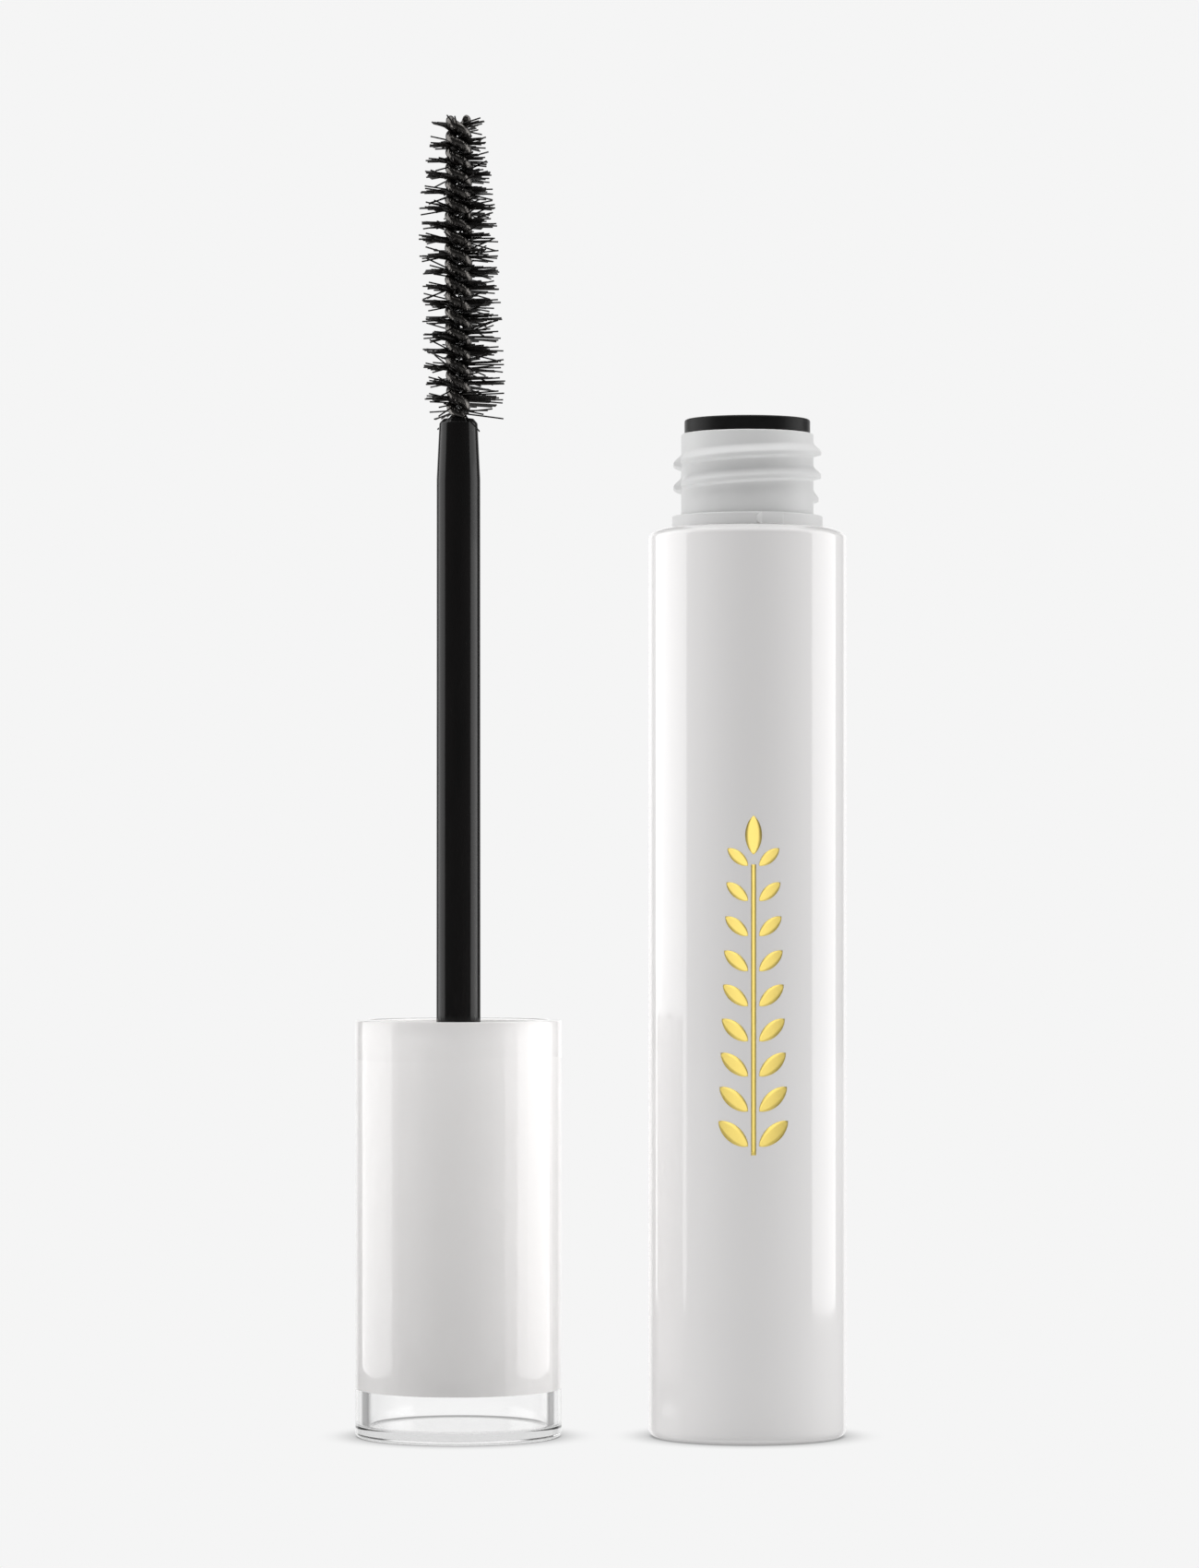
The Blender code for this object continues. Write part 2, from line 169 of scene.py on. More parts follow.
class Finish(Graph):
    """A Principled material whose patterns sit on Object coordinates."""

    def __init__(self, name, **constants):
        self.material = bpy.data.materials.new(name)
        self.material.use_nodes = True
        super().__init__(self.material.node_tree)
        self.shader = self.tree.nodes["Principled BSDF"]
        for socket, value in constants.items():
            self.feed(socket.replace("_", " "), value)

    def feed(self, socket, value):
        if isinstance(value, Wire):
            self.tree.links.new(value.socket, self.shader.inputs[socket])
        else:
            value = (*value, 1.0) if socket.endswith("Color") else value
            self.shader.inputs[socket].default_value = value

    def noise(self, size, detail, stretch=(1, 1, 1)):
        """Noise whose grain is about size across, longer along an axis where stretch is above 1."""
        place = self.make("ShaderNodeTexCoord", output=3)
        scale = tuple(1.0 / part for part in stretch)
        spot = self.make("ShaderNodeMapping", values={"Vector": place, "Scale": scale})
        values = {"Vector": spot, "Scale": 1.0 / size, "Detail": detail}
        return self.make("ShaderNodeTexNoise", None, values)

    def relief(self, height, depth):
        """Raise a height between 0 and 1 to a real depth, on top of any relief so far."""
        values = {"Height": height, "Distance": depth, "Strength": 1.0}
        for link in self.shader.inputs["Normal"].links:
            values["Normal"] = Wire(self, link.from_socket)
        self.feed("Normal", self.make("ShaderNodeBump", None, values))


def varied(name, tint, dull, *reliefs, **constants):
    """A finish whose colour, roughness and height each follow a noise (size, detail, stretch).

    The tint has two colours, the dullness its least and its spread, and each relief its depth.
    """
    finish = Finish(name, **constants)
    grain, first, second = tint
    finish.feed("Base Color", finish.mix(finish.noise(*grain), first, second))
    grain, least, spread = dull
    finish.feed("Roughness", finish.noise(*grain) * spread + least)
    for grain, depth in reliefs:
        finish.relief(finish.noise(*grain), depth)
    return finish.material


def sleeve_white():
    """Sprayed gloss white: a trace of orange peel and the long ripple of the moulding under it."""
    return varied(
        "sleeve_white", ((11 * MM, 2.0, (1, 1, 3)), (0.908, 0.894, 0.891), (0.928, 0.915, 0.912)),
        ((2.5 * MM, 3.0), 0.06, 0.05), ((9 * MM, 1.0, (1, 1, 4)), 0.010 * MM),
        ((0.7 * MM, 1.0), 0.0006 * MM), IOR=1.5, Coat_Weight=0.25, Coat_Roughness=0.03)


def natural_moulding():
    """Undyed bottle plastic: satin from a spark-eroded mould, and a little cloudy."""
    return varied(
        "natural_moulding", ((2.2 * MM, 3.0), (0.80, 0.802, 0.80), (0.84, 0.842, 0.84)),
        ((0.5 * MM, 2.0), 0.42, 0.12), ((0.12 * MM, 2.0), 0.004 * MM), IOR=1.49, Specular_IOR_Level=0.35)


def wiper_black():
    """Soft black elastomer with a fine matt skin."""
    return varied(
        "wiper_black", ((0.8 * MM, 3.0), (0.004, 0.004, 0.004), (0.008, 0.008, 0.008)),
        ((0.3 * MM, 2.0), 0.30, 0.15), ((0.10 * MM, 2.0), 0.003 * MM), IOR=1.5, Specular_IOR_Level=0.25)


def clear_acrylic():
    """Polished clear acrylic with the faintest ripple from the mould."""
    finish = Finish(
        "clear_acrylic", Base_Color=(1.0, 1.0, 1.0), Roughness=0.0, IOR=1.49, Transmission_Weight=1.0)
    finish.relief(finish.noise(8 * MM, 1.0, (1, 1, 3)), 0.004 * MM)
    return finish.material


def lining_white():
    """White moulding seen through the clear shell, or bare at the mouth."""
    return varied(
        "lining_white", ((7 * MM, 2.0), (0.965, 0.95, 0.943), (0.98, 0.965, 0.958)),
        ((0.6 * MM, 2.0), 0.30, 0.1), ((0.2 * MM, 2.0), 0.002 * MM), IOR=1.5)


def stem_black():
    """Glossy black stem, drawn slightly along its length by the mould."""
    return varied(
        "stem_black", ((1.5 * MM, 2.0, (1, 1, 6)), (0.006, 0.006, 0.006), (0.011, 0.010, 0.010)),
        ((0.6 * MM, 3.0, (1, 1, 5)), 0.09, 0.08), ((1.2 * MM, 2.0, (1, 1, 8)), 0.006 * MM),
        IOR=1.5, Specular_IOR_Level=0.2)


def drawn_wire():
    """Blackened stainless wire with fine marks from drawing."""
    return varied(
        "drawn_wire", ((0.5 * MM, 3.0), (0.06, 0.057, 0.054), (0.14, 0.132, 0.124)),
        ((0.25 * MM, 3.0), 0.12, 0.12), ((0.08 * MM, 3.0), 0.004 * MM), Metallic=0.85)


def nylon_black():
    """Black nylon filament with a soft sheen."""
    return varied(
        "nylon_black", ((0.6 * MM, 2.0), (0.002, 0.002, 0.002), (0.007, 0.005, 0.004)),
        ((0.2 * MM, 2.0), 0.28, 0.2), IOR=1.53, Specular_IOR_Level=0.2)


def gold_foil():
    """Hot-stamped gold foil: bright, broken up by the grain of the stamp."""
    return varied(
        "gold_foil", ((0.25 * MM, 4.0), (0.92, 0.72, 0.19), (0.98, 0.79, 0.25)),
        ((0.25 * MM, 4.0), 0.4, 0.2), ((0.15 * MM, 3.0), 0.006 * MM), Metallic=1.0)


# ---- meshes

ROUND = 144                  # facets round a turned piece
FILLET_STEPS = 6
FILLET_LEAD = 1.25           # a ring this share before and after a fillet keeps the walls shaded flat
SHARP = radians(35)     # edges that bend more than this stay crisp


def outline(corners):
    """The points of a profile whose corners are (radius, height, rounding)."""
    points = []
    for i, (radius, height, rounding) in enumerate(corners):
        here = Vector((radius, height))
        if rounding == 0:
            points.append(here)
            continue
        back = (Vector(corners[i - 1][:2]) - here).normalized()
        on = (Vector(corners[(i + 1) % len(corners)][:2]) - here).normalized()
        half = back.angle(on) / 2
        reach = rounding / tan(half)
        centre = here + (back + on).normalized() * rounding / sin(half)
        arm = here + back * reach - centre
        sweep = arm.angle_signed(here + on * reach - centre)
        points.append(here + back * reach * FILLET_LEAD)
        for step in range(FILLET_STEPS + 1):
            turned = arm.copy()
            turned.rotate(Matrix.Rotation(-sweep * step / FILLET_STEPS, 2))
            points.append(centre + turned)
        points.append(here + on * reach * FILLET_LEAD)
    return points


def divided(points, low, high, step):
    """The same profile with its straight run between two heights cut into short steps."""
    result = []
    for here, there in zip(points, points[1:] + points[:1]):
        result.append(here)
        middle, rise = (here.y + there.y) / 2, abs(here.y - there.y)
        if low <= middle <= high and abs(here.x - there.x) < SAME and rise > step:
            count = ceil(rise / step)
            result += [here.lerp(there, i / count) for i in range(1, count)]
    return result


def lathe(name, points, axis_x=0.0, closed=False, segments=ROUND, picks=None):
    """Turn a profile into a closed mesh; picks gives a stretch of it another material slot."""
    bm = bmesh.new()
    rings = []
    for radius, height in points:
        if radius < SAME:
            rings.append([bm.verts.new((axis_x, 0.0, height))])
            continue
        rings.append([
            bm.verts.new((axis_x + radius * cos(a), radius * sin(a), height))
            for a in (TURN * i / segments for i in range(segments))])
    pairs = list(zip(range(len(rings)), range(1, len(rings))))
    if closed:
        pairs.append((len(rings) - 1, 0))
    for first, second in pairs:
        near, far = rings[first], rings[second]
        slot = int(picks is not None and picks(points[first], points[second]))
        for i in range(segments):
            j = (i + 1) % segments
            if len(near) == 1:
                face = bm.faces.new((near[0], far[i], far[j]))
            elif len(far) == 1:
                face = bm.faces.new((near[i], far[0], near[j]))
            else:
                face = bm.faces.new((near[i], far[i], far[j], near[j]))
            face.material_index = slot
    bmesh.ops.recalc_face_normals(bm, faces=bm.faces)
    return finished(name, bm)


def upright(name, heights, axis_x, marks=None):
    """A line up an axis, with a named value at each of its points."""
    bm = bmesh.new()
    verts = [bm.verts.new((axis_x, 0.0, height)) for height in heights]
    for near, far in zip(verts, verts[1:]):
        bm.edges.new((near, far))
    obj = finished(name, bm)
    for mark, values in (marks or {}).items():
        obj.data.attributes.new(mark, "FLOAT", "POINT").data.foreach_set("value", values)
    return obj


def finished(name, bm):
    """Turn a bmesh into a smooth-shaded object in the scene."""
    mesh = bpy.data.meshes.new(name)
    bm.to_mesh(mesh)
    bm.free()
    mesh.shade_smooth()
    mesh.set_sharp_from_angle(angle=SHARP)
    return placed(name, mesh)


def placed(name, data):
    obj = bpy.data.objects.new(name, data)
    bpy.context.scene.collection.objects.link(obj)
    return obj


def grown(obj, build, material, sizes, thickness=0.0):
    """Run a Geometry Nodes tree on an object, thicken the result if asked, and keep a plain mesh."""
    tree = build(material, sizes)
    modifier = obj.modifiers.new(tree.name, "NODES")
    modifier.node_group = tree
    for item in tree.interface.items_tree:
        if item.in_out == "INPUT" and item.name in sizes:
            modifier[item.identifier] = sizes[item.name]
    if thickness:
        solid = obj.modifiers.new("thickness", "SOLIDIFY")
        solid.thickness = thickness
        solid.offset = 1.0
    bpy.context.view_layer.update()
    graph = bpy.context.evaluated_depsgraph_get()
    mesh = bpy.data.meshes.new_from_object(obj.evaluated_get(graph))
    obj.modifiers.clear()
    obj.data = mesh
    mesh.name = obj.name


def dress(obj, body, slot, materials, *nodes):
    """Give a finished piece its materials and its body, and hide the CAD nodes that it stands for; the slot
    is not used.
    """
    while len(obj.data.materials) < len(materials):
        obj.data.materials.append(None)
    for index, material in enumerate(materials):
        obj.data.materials[index] = material
    DRESSED[obj.name] = obj
    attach(obj, body)
    if nodes:
        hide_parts(*nodes)


# ---- geometry trees

class Tree(Graph):
    """A Geometry Nodes tree with an input for each size; it ends in Realize Instances and Set Material."""

    def __init__(self, name, sizes):
        tree = bpy.data.node_groups.new(name, "GeometryNodeTree")
        tree.is_modifier = True
        super().__init__(tree)
        tree.interface.new_socket("Geometry", in_out="INPUT", socket_type="NodeSocketGeometry")
        for size, value in sizes.items():
            kind = "NodeSocketInt" if isinstance(value, int) else "NodeSocketFloat"
            socket = tree.interface.new_socket(size, in_out="INPUT", socket_type=kind)
            socket.default_value = value
        tree.interface.new_socket("Geometry", in_out="OUTPUT", socket_type="NodeSocketGeometry")
        group = tree.nodes.new("NodeGroupInput")
        self.sizes = {size: Wire(self, group.outputs[size]) for size in sizes}
        self.geometry = Wire(self, group.outputs["Geometry"])

    def size(self, name):
        return self.sizes[name]

    def position(self):
        return self.split(self.make("GeometryNodeInputPosition"))

    def random(self, low, high, seed, identity=None):
        values = {2: low, 3: high, "Seed": seed}
        if identity is not None:
            values["ID"] = identity
        return self.make("FunctionNodeRandomValue", {"data_type": "FLOAT"}, values, 1)

    def store(self, geometry, **fields):
        """Keep values on the points, by name."""
        for name, value in fields.items():
            settings = {"data_type": "FLOAT", "domain": "POINT"}
            values = {"Geometry": geometry, "Name": name, "Value": value}
            geometry = self.make("GeometryNodeStoreNamedAttribute", settings, values)
        return geometry

    def named(self, name):
        return self.make("GeometryNodeInputNamedAttribute", {"data_type": "FLOAT"}, {"Name": name})

    def join(self, *parts):
        node = self.tree.nodes.new("GeometryNodeJoinGeometry")
        for part in parts:
            self.tree.links.new(part.socket, node.inputs[0])
        return Wire(self, node.outputs[0])

    def move(self, geometry, **where):
        """Set positions, by Position, Offset and Selection."""
        return self.make("GeometryNodeSetPosition", None, {"Geometry": geometry, **where})

    def twist(self, height):
        """The direction in which the wires stand apart at a height."""
        return (height - self.size("Fold")) / self.size("Pitch") * -TURN

    def end(self, geometry, material, smooth=True):
        if smooth:
            geometry = self.make("GeometryNodeSetShadeSmooth", None, {0: geometry})
        real = self.make("GeometryNodeRealizeInstances", None, {0: geometry})
        painted = self.make("GeometryNodeSetMaterial", None, {"Geometry": real, "Material": material})
        out = self.tree.nodes.new("NodeGroupOutput")
        self.tree.links.new(painted.socket, out.inputs[0])
        return self.tree


ON_WALL = 0.02 * MM          # only what is this near the root circle takes the thread
# radians from the parting line over which the thread comes back, and its raised seam falls off
RELIEF_BEFORE, RELIEF_AFTER, SEAM_EDGES = (0.02, 0.05), (0.02, 0.3), (0.004, 0.016)


def thread_tree(material, sizes):
    """Raises a thread on a turned wall; its ends run out, and it is relieved at the mould's parting line."""
    tree = Tree("thread", sizes)
    size = tree.size
    x, y, z = tree.position()
    x = x - size("Axis")
    radius = (x ** 2 + y ** 2).math("SQRT")
    angle = y.math("ARCTAN2", x)
    lag = (angle - size("From")) / TURN
    along = (z - size("Start")) / size("Pitch")
    turn = (along - lag).math("ROUND") + lag
    off = (along - turn) * size("Pitch")
    crest = size("Land") / 2
    above = off.smooth(crest, size("Upper") + crest)
    below = (-off).smooth(crest, size("Lower") + crest)
    ridge = (1.0 - above) * (1.0 - below)
    ends = turn.math("MINIMUM", size("Turns") - turn)
    fade = ends.smooth(0.0, size("Run out"))
    aside = (angle - size("Parting")).math("WRAP", pi / 2, -pi / 2)
    relief = aside.smooth(*RELIEF_AFTER).math("MAXIMUM", (-aside).smooth(*RELIEF_BEFORE))
    seam = (1.0 - aside.math("ABSOLUTE").smooth(*SEAM_EDGES)) * size("Seam")
    push = (ridge * fade * relief * size("Depth") + seam) / radius
    on_wall = (radius - size("Root")).math("ABSOLUTE").math("LESS_THAN", ON_WALL)
    moved = tree.move(tree.geometry, Offset=tree.vector(x * push, y * push), Selection=on_wall)
    return tree.end(moved, material, smooth=False)


SWELL_REACH = 0.9            # the wires draw together again just past the last filament
BLUNT = 0.02                 # a wire's rounded end stops short of a point


def twist_tree(material, sizes):
    """Two wires twisted round each other up the line that it is given, with rounded ends."""
    tree = Tree("twisted_pair", sizes)
    size = tree.size
    line = tree.make("GeometryNodeMeshToCurve", None, {"Mesh": tree.geometry})
    fine = tree.make("GeometryNodeResampleCurve", None, {"Curve": line, "Count": size("Points")})
    x, y, z = tree.position()
    ring = tree.make("GeometryNodeCurvePrimitiveCircle", {"mode": "RADIUS"}, {
        "Resolution": size("Sides"), "Radius": size("Wire")})
    end = (size("Tip") - z) / size("Wire")
    short = 1.0 - end.math("MINIMUM", 1.0)
    dome = (1.0 - short ** 2).math("MAXIMUM", BLUNT).math("SQRT")
    share = ((z - size("Mouth")) / (size("Tip") - size("Mouth"))).math("MAXIMUM", 0.0)
    spread = (share * pi * SWELL_REACH).math("SINE").math("MAXIMUM", 0.0).math("SQRT")
    spread = spread * size("Swell") + size("Spread")
    legs = []
    for side in (0.0, pi):
        spot = tree.twist(z) + side
        place = tree.vector(x + spot.math("COSINE") * spread, y + spot.math("SINE") * spread, z)
        leg = tree.make("GeometryNodeSetCurveRadius", None, {
            "Curve": tree.move(fine, Position=place), "Radius": dome})
        legs.append(tree.make("GeometryNodeCurveToMesh", None, {
            "Curve": leg, "Profile Curve": ring, "Scale": tree.make("GeometryNodeInputRadius"),
            "Fill Caps": True}))
    return tree.end(tree.join(*legs), material)


TIP_FROM, TIP_LEAN = 0.93, -0.22     # past this share of the brush, filaments lean towards the tip
FOOT_TO, FOOT_LEAN = 0.05, 0.12      # up to this share, they lean towards the stem
BUNCHES = 9.0                        # groups that lean alike, in one turn of the wires
STRAY_POWER = 7                      # the higher, the fewer filaments stray
HAIR_SIDES, HAIR_BENDS = 5, 4


def bristle_tree(material, sizes):
    """Filaments gripped between the two wires: each crosses the core and stands out on both sides."""
    tree = Tree("bristles", sizes)
    size = tree.size
    seed = size("Seed")
    line = tree.make("GeometryNodeMeshToCurve", None, {"Mesh": tree.geometry})
    points = tree.make("GeometryNodeCurveToPoints", {"mode": "COUNT"}, {
        "Curve": line, "Count": size("Filaments")})
    points = tree.store(points, slip=tree.random(-1.0, 1.0, seed) * size("Slip"))
    pairs = tree.make("GeometryNodeDuplicateElements", {"domain": "POINT"}, {
        "Geometry": points, "Amount": 2})
    side = Wire(tree, pairs.socket.node.outputs["Duplicate Index"]) * pi

    index = tree.make("GeometryNodeInputIndex")
    z = tree.position()[2]
    turn = tree.twist(z)
    fan = tree.random(-1.0, 1.0, seed + 1.0, index)
    angle = turn + side + pi / 2 + fan ** 3 * size("Fan")
    reach = (tree.named("left") + tree.named("right")) / 2
    reach = reach + (tree.named("right") - tree.named("left")) / 2 * angle.math("COSINE")
    cut = tree.random(0.0, 1.0, seed + 2.0, index)
    reach = reach * (1.0 - cut ** 2 * size("Uneven"))
    share = (z - size("Low")) / (size("High") - size("Low"))
    splay = share.smooth(TIP_FROM, 1.0) * TIP_LEAN + (1.0 - share.smooth(0.0, FOOT_TO)) * FOOT_LEAN
    bunch = tree.make("ShaderNodeTexNoise", {"noise_dimensions": "2D"}, {
        "Vector": tree.vector(z / size("Pitch") * BUNCHES, side), "Scale": 1.0, "Detail": 1.0})
    stray = tree.random(-1.0, 1.0, seed + 3.0, index) ** STRAY_POWER
    lean = (bunch - 0.5) * 2.0 * size("Lean") + stray * size("Stray") + splay
    lean = lean - angle.math("WRAP", pi / 2, -pi / 2) * size("Gather")
    curl = tree.random(-1.0, 1.0, seed + 4.0, index) * size("Curl")

    pairs = tree.store(pairs, curl=curl, reach=reach, lean=lean, angle=angle)
    drift = tree.random(-1.0, 1.0, seed + 5.0, index) * size("Jitter")
    across = tree.named("slip")
    pairs = tree.move(pairs, Offset=tree.vector(
        turn.math("COSINE") * across, turn.math("SINE") * across, drift))
    hair = tree.make("GeometryNodeMeshCylinder", {"fill_type": "NGON"}, {
        "Vertices": HAIR_SIDES, "Side Segments": HAIR_BENDS, "Radius": 0.5, "Depth": 1.0})
    hair = tree.make("GeometryNodeTransform", None, {
        "Geometry": hair, "Translation": (0.5, 0.0, 0.0), "Rotation": (0.0, pi / 2, 0.0)})
    thick = size("Thickness")
    hairs = tree.make("GeometryNodeInstanceOnPoints", None, {
        "Points": pairs, "Instance": hair,
        "Rotation": tree.vector(0.0, tree.named("lean"), tree.named("angle")),
        "Scale": tree.vector(tree.named("reach"), thick, thick)})
    real = tree.make("GeometryNodeRealizeInstances", None, {0: hairs})
    x, y, _ = tree.position()
    out = (x - size("Axis")) ** 2 + y ** 2
    bent = tree.move(real, Offset=tree.vector(0.0, 0.0, tree.named("curl") * out))
    return tree.end(bent, material)


LEAF_POINTS = (17, 5)
LEAF_TAPER = 0.8             # the lower, the blunter the leaf
LEAF_GAP = 1.1               # of the stalk's width, between the stalk's middle and a leaf
FIRST_LEAF, LAST_GAP = 0.25, 0.4     # of a step, below the first pair and above the last
SHRINK = 0.35                # how much smaller the leaves are at the top
CROWN = 0.75                 # of a leaf's length, from the top down to the crown leaf's foot
STALK_POINTS = (3, 80)


def sprig_tree(material, sizes):
    """A plain sprig: leaves in pairs up a fine stalk, wrapped round a cylinder."""
    tree = Tree("sprig", sizes)
    size = tree.size
    # a leaf lies along +X, pointed at both ends
    leaf = tree.make("GeometryNodeMeshGrid", None, {
        "Size X": 1.0, "Size Y": 1.0, "Vertices X": LEAF_POINTS[0], "Vertices Y": LEAF_POINTS[1]})
    x, y, _ = tree.position()
    taper = (1.0 - x ** 2 * 4.0).math("POWER", LEAF_TAPER)
    leaf = tree.move(leaf, Position=tree.vector(
        (x + 0.5) * size("Leaf"), y * taper * size("Leaf width"), 0.0))
    step = size("Height") / (size("Pairs") + LAST_GAP)
    spots = tree.make("GeometryNodeMeshLine", None, {"Count": size("Pairs")})
    number = tree.make("GeometryNodeInputIndex")
    shrink = 1.0 - number / size("Pairs") * SHRINK
    parts = []
    for side, turned in ((1.0, size("Rise")), (-1.0, pi - size("Rise"))):
        row = tree.move(spots, Position=tree.vector(
            size("Stalk") * LEAF_GAP * side, (number + FIRST_LEAF) * step, 0.0))
        parts.append(tree.make("GeometryNodeInstanceOnPoints", None, {
            "Points": row, "Instance": leaf, "Rotation": tree.vector(0.0, 0.0, turned),
            "Scale": tree.vector(shrink, shrink, 1.0)}))
    crown = tree.make("GeometryNodeTransform", None, {
        "Geometry": leaf, "Rotation": (0.0, 0.0, pi / 2),
        "Translation": tree.vector(0.0, size("Height") - size("Leaf") * CROWN)})
    length = size("Height") - size("Leaf")
    stalk = tree.make("GeometryNodeMeshGrid", None, {
        "Size X": size("Stalk"), "Size Y": length,
        "Vertices X": STALK_POINTS[0], "Vertices Y": STALK_POINTS[1]})
    stalk = tree.make("GeometryNodeTransform", None, {
        "Geometry": stalk, "Translation": tree.vector(0.0, length / 2)})
    flat = tree.make("GeometryNodeRealizeInstances", None, {0: tree.join(*parts, crown, stalk)})
    x, y, _ = tree.position()
    about = x / size("Radius") - pi / 2 + size("Facing")
    wrapped = tree.move(flat, Position=tree.vector(
        about.math("COSINE") * size("Radius"), about.math("SINE") * size("Radius"), y + size("Foot")))
    return tree.end(wrapped, material)


# ---- settings

def number(name, description, value, **more):
    return bpy.props.FloatProperty(name=name, description=description, default=value, **more)


def length(name, description, value):
    return number(name, description, value, min=0.0, unit="LENGTH", precision=5)


class MASCARA_PG_neck(bpy.types.PropertyGroup):
    """Sizes of the bottle's neck."""

    radius: length("Neck radius", "Root of the neck's thread", 6.03 * MM)
    bore: length("Bore", "Radius of the hole through the neck", 4.6 * MM)
    collar: length("Collar radius", "Ring between the neck and the shoulder", 6.9 * MM)
    collar_height: length("Collar height", "From the shoulder to the collar's top", 1.1 * MM)
    crest: length("Thread crest", "Outer radius of the thread", 6.73 * MM)
    pitch: length("Thread pitch", "Rise of the thread in one turn", INCH / 12)
    start: length("Thread start", "Height of the thread's first end above the collar", 1.39 * MM)
    turns: number("Turns", "Length of the thread", 2.14, min=0.5)


class MASCARA_PG_cap(bpy.types.PropertyGroup):
    """Sizes of the cap and the stem."""

    wall: length("Wall", "Thickness of the clear shell", 1.2 * MM)
    end_wall: length("End wall", "Thickness of the shell's closed end", 1.0 * MM)
    stem_radius: length("Stem radius", "Radius of the straight stem", 2.025 * MM)
    stem_tip: length("Stem tip radius", "Radius of the stem where the wire comes out", 1.75 * MM)
    stem_taper: length("Stem taper", "Length of the stem's thinner end", 5.5 * MM)


class MASCARA_PG_brush(bpy.types.PropertyGroup):
    """Sizes of the brush."""

    wire: length("Wire radius", "Radius of each wire", 0.44 * MM)
    spread: length("Spread", "From the brush's axis to the middle of a wire", 0.57 * MM)
    swell: length("Swell", "How far the filaments force the wires apart at mid-brush", 0.27 * MM)
    pitch: length("Twist pitch", "Rise of a wire in one turn", 2.9 * MM)
    filament: length("Filament", "Thickness of a filament", 0.15 * MM)
    filaments: bpy.props.IntProperty(
        name="Filaments", description="Filaments in the whole brush", default=500, min=10)
    seed: bpy.props.IntProperty(name="Seed", description="Picks the filaments' scatter", default=4)


class MASCARA_PG_foil(bpy.types.PropertyGroup):
    """Sizes of the foil ornament."""

    foot: length("Foot", "Height of the ornament's lower end", 26.0 * MM)
    height: length("Height", "Length of the ornament", 29.5 * MM)
    thickness: length("Thickness", "How far the foil stands proud", 0.02 * MM)


class MASCARA_PG_stage(bpy.types.PropertyGroup):
    """The camera, the lights and the floor."""

    distance: length("Distance", "From the tube's axis to the camera", 491 * MM)
    eye: length("Eye height", "Height of the camera", 49.8 * MM)
    aside: number("Aside", "The camera's place along X", -13.46 * MM, unit="LENGTH")
    lens: number("Lens", "Focal length in millimetres", 123.8)
    floor: length("Floor", "Radius of the floor", 1.1)
    side: number("Softboxes", "Radiance of the softboxes", 2.35)
    front: number("Front", "Light from the camera's side", 0.06)
    back: number("Back", "Light from behind", 1.0)
    top: number("Top", "Light from overhead", 1.5)
    backdrop: bpy.props.FloatVectorProperty(
        name="Backdrop", description="Colour of the backdrop", subtype="COLOR", default=(0.913, 0.913, 0.913))


SETTINGS = {
    "mascara_neck": MASCARA_PG_neck,
    "mascara_cap": MASCARA_PG_cap,
    "mascara_brush": MASCARA_PG_brush,
    "mascara_foil": MASCARA_PG_foil,
    "mascara_stage": MASCARA_PG_stage,
}


# ---- pieces

SLEEVE_WALL = 0.9 * MM
SLEEVE_ROOF = 1.3 * MM
SLEEVE_GAP = 0.1 * MM        # between the collar and the sleeve's hole
DOME_DROP, DOME_STEPS = 0.9 * MM, 14
DOME_LEAD = 0.3 * MM         # from the dome's rim down to the first ring of the straight wall


class MASCARA_OT_sleeve(bpy.types.Operator):
    """Make the glossy sleeve of the tube"""

    bl_idname = "mascara.sleeve"
    bl_label = "Sleeve"

    def execute(self, context):
        hole = context.scene.mascara_neck.collar + SLEEVE_GAP
        bore = SLEEVE.r - SLEEVE_WALL
        roof = SLEEVE.top - SLEEVE_ROOF
        rim = SLEEVE.top - DOME_DROP
        points = [
            Vector((hole + (SLEEVE.r - hole) * sin(a), rim + DOME_DROP * cos(a)))
            for a in (pi / 2 * i / DOME_STEPS for i in range(DOME_STEPS + 1))]
        points.append(Vector((SLEEVE.r, rim - DOME_LEAD)))
        points += outline([
            (SLEEVE.r, SLEEVE.top, 0),
            (SLEEVE.r, 0.0, 0.75 * MM),
            (bore, 0.0, 0.05 * MM),
            (bore, roof, 0.2 * MM),
            (hole, roof, 0.2 * MM),
            (hole, SLEEVE.top, 0),
        ])[1:-1]
        sleeve = lathe("sleeve", points, closed=True)
        dress(sleeve, "tube", "sleeve", [sleeve_white()], "tube_sleeve")
        return {"FINISHED"}


BOTTLE_BORE = 6.8 * MM
BOTTLE_FLOOR = 1.0 * MM
SHOULDER_DROP = 1.4 * MM     # from the sleeve's top down to the bottle's shoulder
SHOULDER_WALL = 1.2 * MM
SHOULDER_SLOPE = 2.4 * MM    # from the shoulder down to where the cavity is full width
COLLAR_DRAFT = 0.05 * MM
THREAD_STEP = 0.05 * MM      # between the rings that carry the neck's thread
BOTTLE_SEGMENTS = 216
STOP_SECTIONS = (            # direction in degrees; how far it stands out, and draws in at both ends
    (-84.5, 0.02 * MM, 0.3 * MM), (-81, 0.4 * MM, 0.0), (-65.5, 0.4 * MM, 0.0), (-65, 0.36 * MM, 0.0))
STOP_ROOT = 0.25 * MM        # how deep the stop is sunk in the collar
STOP_SHY = 0.03 * MM         # how far its faces stay from the collar's own
STOP_EDGE = 0.05 * MM


